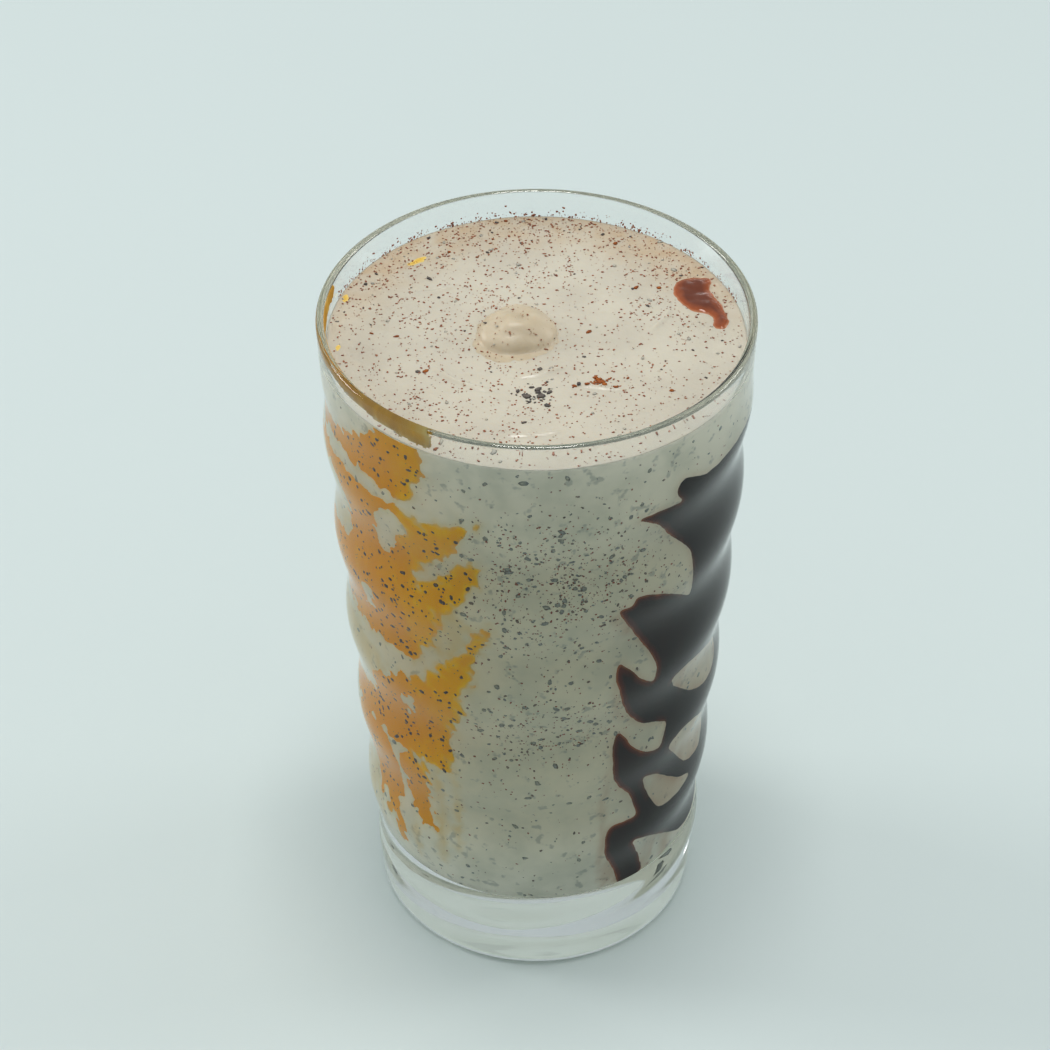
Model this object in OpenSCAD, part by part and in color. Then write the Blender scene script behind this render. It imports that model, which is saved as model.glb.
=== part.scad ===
// Milkshake in its spiral-wave tumbler.
// The origin is on the table under the middle of the foot, and +Z is up.
// The wave is one continuous thread: it climbs as it turns anticlockwise.

/* [Glass] */
// Height of the tumbler
glass_h = 141; // [100:1:180]
// Diameter across the rim
rim_d = 80; // [64:1:96]
// Diameter across the foot
foot_d = 64.5; // [50:0.5:78]
// Thickness of the wall
wall = 2.2; // [1.4:0.1:3.2]
// Thickness of the rolled rim
rim_wall = 1.5; // [1:0.1:2.4]
// Thickness of the solid glass base
base_t = 17.5; // [6:0.5:24]
// Radius of the rounded edge under the foot
foot_round = 2; // [1:0.1:4]
// Radius of the corner between the inside floor and the wall
floor_round = 4.5; // [2:0.5:8]

/* [Wave] */
// Rise of the wave in one turn
wave_pitch = 22; // [16:1:32]
// Depth of the wave from crest to groove
wave_depth = 1.2; // [0:0.1:2]
// Bearing of the crest at table height, in degrees from +X
wave_bearing = 92; // [0:1:359]
// Height of the plain band under the rim
plain_band = 20; // [8:1:30]
// Height of the plain foot
plain_foot = 5; // [2:0.5:12]
// Height over which the wave fades into each plain part
wave_fade = 12; // [6:1:20]

/* [Shake] */
// Depth of the drink's surface below the rim
headroom = 5.5; // [4:0.5:40]
// Gap between the drink and the wall
fill_gap = 0.1; // [0.05:0.05:0.3]
// Height of the low swirls left on the surface
swirl_h = 0.3; // [0:0.05:0.6]

/* [Lump] */
// Width of the ice cream lump
lump_w = 14.5; // [8:0.5:20]
// Height of the lump above the drink
lump_h = 4.2; // [2:0.1:6]
// How far the melting skirt spreads around the lump
lump_skirt = 4; // [1:0.5:8]
// Distance of the lump to the right of the middle
lump_x = -3.5; // [-15:0.5:15]
// Distance of the lump behind the middle
lump_y = 0.5; // [-15:0.5:15]

/* [Hidden] */

// Facets around each piece, and rows of them in one turn of the wave
around = 36;
rows_per_turn = 6;
corner_rows = 3;
rim_steps = 4;
surface_rings = 5;
lump_around = 24;
lump_rings = 7;

// How much of the flare is an S-curve, and how much the wall swells midway
flare_ease = 0.4;
flare_swell = 0.16;

rim_base = glass_h - rim_wall / 2;
fill_h = glass_h - headroom;
row_gap = wave_pitch / rows_per_turn;

function ease(t) = let (u = min(max(t, 0), 1)) u * u * (3 - 2 * u);

// Rows from one height to another, no further apart than row_gap
function rows(low, high) =
    let (n = max(1, ceil((high - low) / row_gap)))
    [for (i = [0:n]) low + (high - low) * i / n];

// How far a rounded corner of radius r draws in, at height h above its end
function corner_inset(h, r) =
    h >= r ? 0 : r - sqrt(max(r * r - (r - h) * (r - h), 0));

// Heights of the rows up a rounded corner that starts at height low
function corner_heights(low, r) =
    [for (i = [0:corner_rows - 1]) low + r * (1 - cos(90 * i / corner_rows))];

// Radius of the outside before the wave: a gentle S that flares to the rim
function flared_r(h) =
    let (t = min(h / rim_base, 1),
         s = (1 - flare_ease) * t + flare_ease * ease(t) + flare_swell * t * (1 - t))
    foot_d / 2 + (rim_d - foot_d) / 2 * s;

// The wave at height h and bearing a: a cosine along the thread, faded at both ends
function wave(h, a) =
    let (rise = ease((h - plain_foot) / wave_fade),
         fall = ease((glass_h - plain_band - h) / wave_fade + 1))
    wave_depth / 2 * rise * fall * cos(360 * h / wave_pitch - a + wave_bearing);

// Thickness of the wall, thinning to the rim over the plain band
function wall_at(h) =
    rim_wall + (wall - rim_wall) * ease((rim_base - h) / plain_band);

function outer_r(h, a) = flared_r(h) + wave(h, a) - corner_inset(h, foot_round);

function inner_r(h, a) =
    flared_r(h) + wave(h, a) - wall_at(h) - corner_inset(h - base_t, floor_round);

function bearings(n) = [for (i = [0:n - 1]) 360 * i / n];

function ring(radii, h, n) =
    let (b = bearings(n))
    [for (i = [0:n - 1]) [radii[i] * cos(b[i]), radii[i] * sin(b[i]), h]];

function outer_ring(h) =
    ring([for (a = bearings(around)) outer_r(h, a)], h, around);

function inner_ring(h, gap = 0) =
    ring([for (a = bearings(around)) inner_r(h, a) - gap], h, around);

// Half a turn over the rolled rim, from the outside to the inside
function rim_ring(turn) =
    let (mid = rim_d / 2 - rim_wall / 2)
    ring([for (a = bearings(around)) mid + rim_wall / 2 * cos(turn)],
         rim_base + rim_wall / 2 * sin(turn), around);

// The surface: level at the wall and under the lump, with low swirls dipping between
function surface_h(x, y) =
    let (r = norm([x, y]) / (rim_d / 2),
         from_lump = norm([x - lump_x, y - lump_y]) - lump_w / 2 - lump_skirt,
         spiral = (2 * cos(2 * atan2(y, x) + 620 * r) + cos(3 * atan2(y, x) - 400 * r)) / 3)
    fill_h - swirl_h / 2 * (1 - spiral) * ease(from_lump / 6) * ease((1 - r) * 6 - 0.4);

function surface_ring(share) =
    [for (p = inner_ring(fill_h, fill_gap))
        [p[0] * share, p[1] * share, surface_h(p[0] * share, p[1] * share)]];

// Outline of the lump at bearing a, as a share of its mean radius
function lump_outline(a) = 1 + 0.05 * cos(2 * a - 40) + 0.04 * cos(3 * a + 70);

// Outer radius of the melting skirt, which runs furthest to the front left
function skirt_r(a) =
    lump_w / 2 * lump_outline(a) + lump_skirt * (0.6 + 0.4 * cos(a + 125));

// Height of the lump at share t of the way out to the skirt's edge
function lump_profile(t, a) =
    let (dome_end = lump_w / 2 * lump_outline(a) / skirt_r(a),
         dome = sqrt(max(1 - pow(min(t / dome_end, 1), 2.2), 0)),
         skirt = 0.16 * (1 + cos(180 * t)) / 2)
    lump_h * ((1 - 0.16) * dome + skirt);

function lump_ring(t) =
    [for (a = bearings(lump_around))
        [lump_x + t * skirt_r(a) * cos(a),
         lump_y + t * skirt_r(a) * sin(a),
         fill_h + lump_profile(t, a)]];

// A closed skin over rings of n points each, from the first pole to the last
module skin(first, rings, last, n) {
    count = len(rings);
    top = count * n + 1;
    points = concat([first], [for (r = rings) for (p = r) p], [last]);
    start_fan = [for (i = [0:n - 1]) [0, 1 + i, 1 + (i + 1) % n]];
    sides = [for (k = [0:count - 2]) for (i = [0:n - 1])
        let (a = 1 + k * n + i, b = 1 + k * n + (i + 1) % n)
        each [[a, a + n, b], [b, a + n, b + n]]];
    end_fan = [for (i = [0:n - 1])
        let (a = 1 + (count - 1) * n + i, b = 1 + (count - 1) * n + (i + 1) % n)
        [a, top, b]];
    polyhedron(points = points, faces = concat(start_fan, sides, end_fan));
}

inside_rows = concat(corner_heights(base_t, floor_round),
                     rows(base_t + floor_round, fill_h));

// The tumbler, one solid from under the foot over the rim to the inside floor
module glass() {
    outside = concat(corner_heights(0, foot_round), rows(foot_round, rim_base));
    dry_rows = rows(fill_h, rim_base);
    color([0.82, 0.88, 0.87, 0.4])
    skin(
        [0, 0, 0],
        concat(
            [for (h = outside) outer_ring(h)],
            [for (i = [1:rim_steps - 1]) rim_ring(180 * i / rim_steps)],
            [for (i = [len(dry_rows) - 1:-1:1]) inner_ring(dry_rows[i])],
            [for (i = [len(inside_rows) - 1:-1:0]) inner_ring(inside_rows[i])]
        ),
        [0, 0, base_t],
        around
    );
}

// The drink, up to its level, with its sides along the inside of the wall
module milkshake() {
    color([0.84, 0.82, 0.75])
    skin(
        [0, 0, base_t],
        concat(
            [for (h = inside_rows) inner_ring(h, fill_gap)],
            [for (i = [surface_rings - 1:-1:1]) surface_ring(i / surface_rings)]
        ),
        [0, 0, surface_h(0, 0)],
        around
    );
}

// The floating lump, from its flat waterline up over the dome
module ice_cream_lump() {
    color([0.86, 0.80, 0.70])
    skin(
        [lump_x, lump_y, fill_h],
        [for (i = [lump_rings:-1:1]) lump_ring(i / lump_rings)],
        [lump_x, lump_y, fill_h + lump_profile(0, 0)],
        lump_around
    );
}

glass();
milkshake();
ice_cream_lump();
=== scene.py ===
import logging
import math
from dataclasses import dataclass
from enum import Enum
from functools import cache

import bpy
import numpy as np
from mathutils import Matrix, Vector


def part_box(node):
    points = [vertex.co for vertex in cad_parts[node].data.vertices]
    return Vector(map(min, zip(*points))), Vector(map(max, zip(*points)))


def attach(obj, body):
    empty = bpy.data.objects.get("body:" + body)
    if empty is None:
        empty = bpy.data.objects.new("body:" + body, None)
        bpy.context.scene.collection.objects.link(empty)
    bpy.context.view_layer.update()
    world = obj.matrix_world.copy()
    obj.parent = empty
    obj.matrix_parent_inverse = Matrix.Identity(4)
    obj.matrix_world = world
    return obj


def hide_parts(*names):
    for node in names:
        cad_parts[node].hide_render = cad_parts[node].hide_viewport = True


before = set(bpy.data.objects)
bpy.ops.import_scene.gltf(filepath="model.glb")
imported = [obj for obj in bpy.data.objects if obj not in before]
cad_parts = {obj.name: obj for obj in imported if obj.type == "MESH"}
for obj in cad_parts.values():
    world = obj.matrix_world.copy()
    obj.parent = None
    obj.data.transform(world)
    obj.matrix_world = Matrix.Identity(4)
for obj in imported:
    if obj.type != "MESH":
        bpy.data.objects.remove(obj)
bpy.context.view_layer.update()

LOG = logging.getLogger("milkshake")
MM = 0.001
TURN = 2 * math.pi
Array = np.ndarray

# Millimetres along the wall in one degree of bearing, at its mean radius.
ARC = 0.61
# Depth in millimetres at which a sauce has its full colour.
FULL_DEPTH = 2.4
# Steps after which the noise repeats. An offset added to a noise's coordinates only
# picks another part of it.
LATTICE = 256
# Bearing of the front, in degrees from +X.
FRONT = -90
# Where the ice cream lump floats.
LUMP_PLACE = (-3.5 * MM, 0.5 * MM)


class Slot(Enum):
    """The record's material slots. Each piece's builder is given one, but the finish is made in this
    script and the slot is not read.
    """

    TUMBLER = "tumbler_glass"
    SHAKE = "shake"
    ICE_CREAM = "ice_cream"
    CHOCOLATE = "chocolate_sauce"
    MANGO = "mango_sauce"
    SPECKS = "biscuit_specks"


# ---------------------------------------------------------------- small maths


def ease(t: Array | float) -> Array:
    """Smooth step from 0 to 1: three t squared less two t cubed, with t held in that range."""
    u = np.clip(t, 0, 1)
    return u * u * (3 - 2 * u)


def corner_inset(h: Array, radius: float) -> Array:
    """How far a quarter-round corner draws in at height h above its end.

    Args:
        h: heights above the end of the corner.
        radius: the corner's radius.

    Returns:
        radius less the circle's half chord, and nothing above the corner.
    """
    chord = np.sqrt(np.maximum(radius**2 - (radius - h) ** 2, 0))
    return np.where(h >= radius, 0, radius - chord)


def smooth_noise(u: Array, v: Array, seed: int) -> Array:
    """Value noise: random numbers on a unit lattice, joined by a smooth step.

    Args:
        u: first coordinate, in lattice steps.
        v: second coordinate, in lattice steps.
        seed: which random lattice is used.

    Returns:
        values from -1 to 1 in the shape of u and v.
    """
    lattice = np.random.default_rng(seed).uniform(-1, 1, (LATTICE, LATTICE))
    iu = np.floor(u).astype(int)
    iv = np.floor(v).astype(int)
    fu = ease(u - iu)
    fv = ease(v - iv)
    left, right = iu % LATTICE, (iu + 1) % LATTICE
    low, high = iv % LATTICE, (iv + 1) % LATTICE
    lower = lattice[left, low] * (1 - fu) + lattice[right, low] * fu
    upper = lattice[left, high] * (1 - fu) + lattice[right, high] * fu
    return lower * (1 - fv) + upper * fv


def rounded(corners: Array, passes: int = 2, cut: float = 0.22) -> Array:
    """A closed outline with its corners cut: each side keeps its middle part each time.

    Args:
        corners: points in the shape (corners, 2).
        passes: how many times the corners are cut.
        cut: the share of each side that is cut off at either end.

    Returns:
        the smoother outline, with twice as many points after each pass.
    """
    for _ in range(passes):
        after = np.roll(corners, -1, 0)
        near = (1 - cut) * corners + cut * after
        far = cut * corners + (1 - cut) * after
        corners = np.stack([near, far], 1).reshape(-1, 2)
    return corners


def depth_inside(x: Array, y: Array, corners: Array) -> Array:
    """Distance in from a closed outline: to the nearest side, negative outside.

    Args:
        x: first coordinate of the points asked about.
        y: second coordinate, in the same unit.
        corners: the outline, in the shape (corners, 2).

    Returns:
        the signed distance of each point.
    """
    nearest = np.full(x.shape, np.inf)
    inside = np.zeros(x.shape, bool)
    for (ax, ay), (bx, by) in zip(corners, np.roll(corners, -1, 0)):
        ex, ey = bx - ax, by - ay
        t = np.clip(((x - ax) * ex + (y - ay) * ey) / (ex * ex + ey * ey + 1e-12), 0, 1)
        nearest = np.minimum(nearest, np.hypot(x - ax - t * ex, y - ay - t * ey))
        rise = by - ay if by != ay else 1e-9
        inside ^= ((ay > y) != (by > y)) & (x < ax + ex * (y - ay) / rise)
    return np.where(inside, nearest, -nearest)


def cells_deeper(depth: Array, least: float) -> Array:
    """Which cells of a grid are deeper than a limit at all four corners."""
    low = np.minimum(depth[:-1], depth[1:])
    return np.minimum(low[:, :-1], low[:, 1:]) > least


@dataclass(frozen=True)
class Splash:
    """Sauce lying on a face: patches joined together, less the gaps left in them.

    Corners are in pairs: degrees and millimetres on the wall, millimetres on the surface.
    Across turns the first number of a pair into millimetres. Fray and ragged are how far
    noise moves the edge, and coarse and fine are that noise's sizes, in millimetres.
    """

    patches: tuple
    gaps: tuple = ()
    across: float = 1.0
    fray: float = 0.3
    seed: int = 1
    ragged: float = 0.0
    coarse: float = 1.6
    fine: float = 0.7

    def depth(self, u: Array, v: Array) -> Array:
        """Distance in from the nearest edge of the sauce, with the edge frayed by noise.

        Args:
            u: bearings in degrees, or distances to the right in millimetres.
            v: heights, or distances back, in millimetres.

        Returns:
            the greatest depth among the patches, cut by the gaps, in millimetres.
        """
        size = np.array([self.across, 1.0])
        x, y = u * self.across, v + 0 * u
        coarse = smooth_noise(x / self.coarse + 200, y / self.coarse + 200, self.seed)
        fine = smooth_noise(x / self.fine + 300, y / self.fine + 300, self.seed + 1)
        frayed = self.fray * coarse + 0.45 * self.fray * fine
        deepest = np.full(x.shape, -np.inf)
        for patch in self.patches:
            deepest = np.maximum(deepest, depth_inside(x, y, rounded(np.array(patch) * size)))
        for gap in self.gaps:
            deepest = np.minimum(deepest, -depth_inside(x, y, rounded(np.array(gap) * size)))
        slant = smooth_noise((x + 0.8 * y) / 1.5 + 120, (y - 0.9 * x) / 3.4 + 140, self.seed + 2)
        return np.minimum(deepest, FULL_DEPTH) + frayed + self.ragged * (slant - 0.25)


# ---------------------------------------------------------------- mesh making


def skin(name: str, rings: Array, first: Array, last: Array) -> bpy.types.Object:
    """A closed skin over rings of points, from a first pole to a last pole.

    Row k of the grid joins point i of ring k to points i and i + 1 of ring k + 1.

    Args:
        name: name of the piece.
        rings: points in the shape (rings, points in a ring, 3), anticlockwise.
        first: the pole before the first ring.
        last: the pole after the last ring.

    Returns:
        the new object, smooth shaded.
    """
    count, around = rings.shape[:2]
    points = np.vstack([first, rings.reshape(-1, 3), last])
    k = 1 + around * np.arange(count - 1)[:, None]
    i = np.arange(around)[None, :]
    j = (i + 1) % around
    quads = np.stack([k + i, k + j, k + around + j, k + around + i], -1).reshape(-1, 4)
    ends = np.arange(around)
    after = (ends + 1) % around
    start = np.stack([np.zeros_like(ends), 1 + after, 1 + ends], -1)
    base = 1 + (count - 1) * around
    finish = np.stack([base + ends, base + after, np.full_like(ends, len(points) - 1)], -1)
    faces = [*quads.tolist(), *start.tolist(), *finish.tolist()]
    return new_object(name, points, faces)


def new_object(name: str, points: Array, faces: list[list[int]]) -> bpy.types.Object:
    """A smooth shaded mesh object at the origin.

    Args:
        name: name of the piece.
        points: the mesh's points in the shape (points, 3), in metres.
        faces: the points of each face, anticlockwise seen from outside.

    Returns:
        the new object, linked to the scene.
    """
    mesh = bpy.data.meshes.new(name)
    mesh.from_pydata(points.tolist(), [], faces)
    mesh.polygons.foreach_set("use_smooth", np.ones(len(mesh.polygons), bool))
    mesh.update()
    piece = bpy.data.objects.new(name, mesh)
    bpy.context.scene.collection.objects.link(piece)
    return piece


def shell(
    name: str, outer: Array, inner: Array, kept: Array
) -> tuple[bpy.types.Object, Array]:
    """A closed shell between two grids of points, over the cells that are kept.

    Args:
        name: name of the piece.
        outer: points of the outer face in the shape (rows, columns, 3).
        inner: points of the inner face in the same shape.
        kept: which cells stay, in the shape (rows - 1, columns - 1).

    Returns:
        the new object, and which points of both grids it uses. Columns run
        anticlockwise round the axis and rows upwards, so that faces point outwards.
    """
    rows, columns = outer.shape[:2]
    index = np.arange(rows * columns).reshape(rows, columns)
    a, b = index[:-1, :-1], index[:-1, 1:]
    c, d = index[1:, 1:], index[1:, :-1]
    shift = rows * columns
    front = np.stack([a, b, c, d], -1)[kept]
    back = np.stack([d, c, b, a], -1)[kept] + shift
    padded = np.pad(kept, 1)
    middle = padded[1:-1, 1:-1]
    walls = [front, back]
    for start, end, beyond in (
        (a, b, padded[:-2, 1:-1]),
        (b, c, padded[1:-1, 2:]),
        (c, d, padded[2:, 1:-1]),
        (d, a, padded[1:-1, :-2]),
    ):
        edge = middle & ~beyond
        walls.append(np.stack([end, start, start + shift, end + shift], -1)[edge])
    faces = np.vstack(walls)
    points = np.vstack([outer.reshape(-1, 3), inner.reshape(-1, 3)])
    used, faces = np.unique(faces, return_inverse=True)
    piece = new_object(name, points[used], faces.reshape(-1, 4).tolist())
    return piece, used


def paint(piece: bpy.types.Object, name: str, values: Array) -> None:
    """Store one number a point as a named attribute of the mesh."""
    layer = piece.data.attributes.new(name, "FLOAT", "POINT")
    layer.data.foreach_set("value", values.astype(np.float32))


def dress(
    piece: bpy.types.Object, material: bpy.types.Material, slot: Slot, *nodes: str
) -> None:
    """Give a piece its material and its places in the frame, and report it.

    Args:
        piece: the finished mesh object.
        material: its finish.
        slot: the record's slot that the finish belongs to; not used.
        *nodes: the CAD nodes that the piece stands for.
    """
    piece.data.materials.append(material)
    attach(piece, "root")
    if nodes:
        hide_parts(*nodes)
    count = sum(len(f.vertices) - 2 for f in piece.data.polygons)
    LOG.info("%s: %d triangles", piece.name, count)


# ------------------------------------------------------------ the tumbler's wall


@dataclass(frozen=True)
class WaveWall:
    """The tumbler's wall as formulas: the flare, the climbing wave and the corners.

    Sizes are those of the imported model, in metres.
    """

    height: float
    rim_d: float
    base_t: float
    fill_h: float
    foot_d: float = 64.5 * MM
    wall: float = 2.2 * MM
    rim_wall: float = 1.5 * MM
    foot_round: float = 2 * MM
    floor_round: float = 4.5 * MM
    wave_pitch: float = 22 * MM
    wave_depth: float = 1.2 * MM
    wave_bearing: float = math.radians(92)
    plain_band: float = 20 * MM
    plain_foot: float = 5 * MM
    wave_fade: float = 12 * MM
    flare_ease: float = 0.4
    flare_swell: float = 0.16

    @property
    def rim_base(self) -> float:
        """Height at which the rolled rim starts."""
        return self.height - self.rim_wall / 2

    def flared(self, h: Array) -> Array:
        """Outside radius before the wave: part straight, part S-curve, with a swell midway.

        Args:
            h: heights above the table.

        Returns:
            the radius at each height.
        """
        t = np.minimum(h / self.rim_base, 1)
        share = (1 - self.flare_ease) * t + self.flare_ease * ease(t)
        share = share + self.flare_swell * t * (1 - t)
        return self.foot_d / 2 + (self.rim_d - self.foot_d) / 2 * share

    def wave(self, h: Array, a: Array) -> Array:
        """The wave: a cosine along one thread that climbs as it turns anticlockwise.

        Args:
            h: heights above the table.
            a: bearings from +X.

        Returns:
            how far the wall stands out, fading into the plain foot and the plain band.
        """
        rise = ease((h - self.plain_foot) / self.wave_fade)
        fall = ease((self.height - self.plain_band - h) / self.wave_fade + 1)
        along = TURN * h / self.wave_pitch - a + self.wave_bearing
        return self.wave_depth / 2 * rise * fall * np.cos(along)

    def thickness(self, h: Array) -> Array:
        """Thickness of the wall, thinning to the rim over the plain band."""
        share = ease((self.rim_base - h) / self.plain_band)
        return self.rim_wall + (self.wall - self.rim_wall) * share

    def outer(self, h: Array, a: Array) -> Array:
        """Radius of the outside at height h and bearing a."""
        return self.flared(h) + self.wave(h, a) - corner_inset(h, self.foot_round)

    def inner(self, h: Array, a: Array) -> Array:
        """Radius of the inside at height h and bearing a."""
        corner = corner_inset(h - self.base_t, self.floor_round)
        return self.flared(h) + self.wave(h, a) - self.thickness(h) - corner


def around_axis(radius: Array, bearing: Array, height: Array) -> Array:
    """Points at a radius, bearing and height, as an array with a last axis of 3."""
    radius, bearing, height = np.broadcast_arrays(radius, bearing, height)
    return np.stack([radius * np.cos(bearing), radius * np.sin(bearing), height], -1)


# ------------------------------------------------------- where the sauces lie

CHOCOLATE = Splash(
    patches=(
        ((14, 118), (6, 122), (-8, 124), (-23, 123.5), (-38, 123), (-43, 124), (-48.5, 125.5),
         (-51, 123), (-47.5, 120.3), (-54, 120.7), (-63, 120.6), (-59, 119), (-55, 117),
         (-51, 113), (-46, 109), (-42.5, 106), (-41.5, 103), (-41, 100), (-39, 93), (-43, 95.3),
         (-48, 97.7), (-53.5, 99.7), (-58.5, 101), (-61.5, 101), (-62.5, 99.4), (-67, 99.3),
         (-65.5, 97), (-63, 94.4), (-59.5, 90), (-56.5, 86.6), (-53.5, 83), (-52, 79.6),
         (-52.5, 77.3), (-53.5, 76.6), (-58.5, 79.4), (-62, 82.5), (-65.2, 84.5), (-66.3, 81),
         (-65, 78), (-63.3, 73.5), (-60.3, 69), (-55.5, 65), (-50, 63.5), (-44, 61.7),
         (-46, 58.7), (-47.5, 55.8), (-53.5, 57), (-58.5, 60), (-61, 63), (-63.4, 65),
         (-65.3, 62), (-65.3, 55), (-64, 52), (-60.3, 48), (-56.6, 45), (-54.8, 41),
         (-53.8, 38), (-64, 38.6), (-66.3, 36), (-66.2, 31), (-63.3, 27), (-61, 24), (-57.5, 17),
         (-47, 17), (-50, 24.7), (-52.5, 28), (-55.8, 32.2), (-47.5, 30.4), (-40, 27.3),
         (-33, 23.8), (-25.5, 21), (-12, 20), (2, 24), (10, 34), (13, 50), (9, 66), (15, 84),
         (10, 100)),
    ),
    gaps=(
        ((-45, 73.6), (-41.4, 69.8), (-36.6, 66.8), (-31.7, 63.8), (-23, 61.8), (-15, 62.3),
         (-12, 66), (-16, 71), (-30, 74.3), (-38, 75)),
        ((-44, 54.6), (-37.8, 49.8), (-34, 46.4), (-28, 42), (-18, 41), (-13, 45), (-16, 51),
         (-26, 55.5), (-36, 57)),
        ((-52.6, 49.2), (-46.3, 47.4), (-40.2, 44), (-34, 40.4), (-26, 38.6), (-30, 37.2),
         (-37, 36.6), (-44, 36.8), (-47, 39.5), (-50, 44)),
    ),
    across=ARC,
    fray=0.12,
    seed=11,
)

MANGO = Splash(
    patches=(
        ((-120.5, 139), (-121.3, 130), (-123, 126.7), (-124.5, 122.5), (-130, 120.5), (-145, 122),
         (-160, 122.5), (-175, 121), (-188, 123), (-190, 130), (-178, 128), (-165, 126),
         (-157, 126.8), (-146, 130), (-138, 134.5), (-134, 139)),
        ((-104.5, 121.3), (-112, 120.2), (-116.5, 118.5), (-121, 118.6), (-128, 119.7),
         (-140, 118.7), (-155, 119.5), (-175, 119), (-175, 116), (-160, 116), (-156, 110),
         (-156, 100), (-170, 99), (-184, 96), (-186, 84), (-160, 80), (-145, 80.5), (-129, 80),
         (-125, 84), (-121, 90), (-117, 96), (-112, 100.3), (-109, 103), (-106.5, 106.6),
         (-104, 110.3), (-108.8, 111.6), (-112, 110.5), (-115.5, 107), (-120.4, 103.8),
         (-126.4, 102), (-126, 103.5), (-119, 109.5), (-112.5, 112.6), (-111.5, 116.5)),
        ((-121.6, 81.4), (-116.7, 84.3), (-112, 89.3), (-108.2, 94), (-104.6, 96.3),
         (-100.5, 97), (-102, 94), (-105.3, 90), (-109, 85.7), (-110, 81.4), (-110.3, 77.5),
         (-113, 75), (-112, 70), (-116, 68.5), (-118, 62), (-117.2, 57), (-116, 52), (-124, 53.5),
         (-130, 53), (-145, 54), (-160, 53), (-182, 54), (-184, 60), (-165, 61), (-152, 63),
         (-153, 68), (-143, 72), (-136, 76.5), (-128, 77), (-124, 79)),
        ((-139, 54), (-127, 54), (-126.5, 47), (-128.5, 41), (-127, 37), (-124, 34), (-130, 33.2),
         (-135, 35.5), (-138.5, 40), (-140, 46)),
        ((-168, 54), (-142.5, 54), (-141, 45), (-140.5, 39), (-144, 36), (-140, 30), (-143, 22),
         (-147, 31), (-150, 26), (-153, 35), (-156, 28), (-160, 39), (-170, 44)),
    ),
    gaps=(
        ((-141.5, 105.5), (-139, 116), (-131, 117.4), (-127.5, 115), (-131, 111.5), (-137, 106)),
        ((-136, 62.5), (-131.5, 66), (-130, 71.5), (-134.5, 69)),
        ((-152, 86), (-148, 92), (-144, 94), (-146, 88)),
    ),
    across=ARC,
    fray=0.8,
    seed=21,
    ragged=1.0,
)

TOP_DROP = Splash(
    patches=(
        ((25.6, 15.6), (27.3, 17.9), (30, 18.3), (32.6, 17.6), (32, 14.5), (33.2, 11.2),
         (34.6, 8), (35.4, 4.5), (34.3, 1.6), (32.4, 2.4), (32.7, 5.2), (31.2, 6.6),
         (29.2, 7.2), (26.8, 9.6), (25.6, 12.5)),
    ),
    fray=0.25,
    seed=31,
)

TOP_BITS = Splash(
    patches=(
        ((-35.9, 12.6), (-34.9, 12.9), (-34.6, 11), (-35.4, 9.6), (-36, 10.6)),
        ((-24.6, 22.4), (-22.6, 24), (-20.8, 24.9), (-21.2, 23.4), (-23, 22.2)),
        ((-36.4, -3.2), (-35.6, -2.8), (-35.7, -4.6), (-36.3, -5)),
    ),
    fray=0.3,
    seed=37,
)

RIM_FILM = Splash(
    patches=(
        ((-119, 136.9), (-119, 140.2), (-130, 140.4), (-150, 140.4), (-170, 140.3), (-190, 140.2),
         (-194, 139), (-186, 138), (-172, 138.4), (-160, 139), (-146, 138.8), (-135, 138.2),
         (-127, 137.6)),
    ),
    across=0.66,
    fray=0.3,
    seed=61,
)

FRUIT_STAINS = Splash(
    patches=(
        ((-125, 52), (-122, 52), (-121.5, 38), (-122.5, 25), (-125, 27), (-125.5, 40)),
        ((-118.5, 52), (-115.5, 52), (-116, 40), (-116.5, 30), (-118.5, 33)),
        ((-137, 33), (-133, 33), (-134, 22), (-136.5, 24)),
        ((-195, 50), (-166, 50), (-160, 36), (-150, 22), (-172, 19), (-195, 24)),
        ((-195, 78), (-155, 78), (-140, 74), (-152, 66), (-195, 62)),
        ((-190, 116), (-156, 116), (-156, 100), (-190, 100)),
        ((-122, 96), (-113, 99), (-108, 95), (-116, 85), (-121, 84)),
    ),
    across=ARC,
    fray=0.9,
    seed=41,
)

COCOA_STAINS = Splash(
    patches=(
        ((-47, 76), (-10, 74), (-8, 60), (-30, 58), (-47, 57), (-40, 66)),
        ((-50, 55), (-10, 55), (-8, 38), (-30, 37), (-50, 37), (-46, 47)),
        ((-67.5, 56), (-66, 56), (-66.3, 40), (-66, 22), (-67.8, 22), (-68, 40)),
        ((-67, 33), (-63, 27), (-58, 18), (-64, 18), (-67.5, 24)),
        ((-49, 30), (-43, 28), (-44, 18), (-48, 18)),
        ((-41, 27), (-33, 23), (-34, 18), (-39, 18)),
        ((-69.5, 97), (-66, 98), (-62, 92), (-64, 91)),
        ((-67.5, 80), (-65.5, 80), (-64, 73), (-61, 68.5), (-64, 68), (-66.5, 73)),
    ),
    across=ARC,
    fray=0.5,
    seed=51,
)


# ------------------------------------------------------------------- materials


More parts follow.
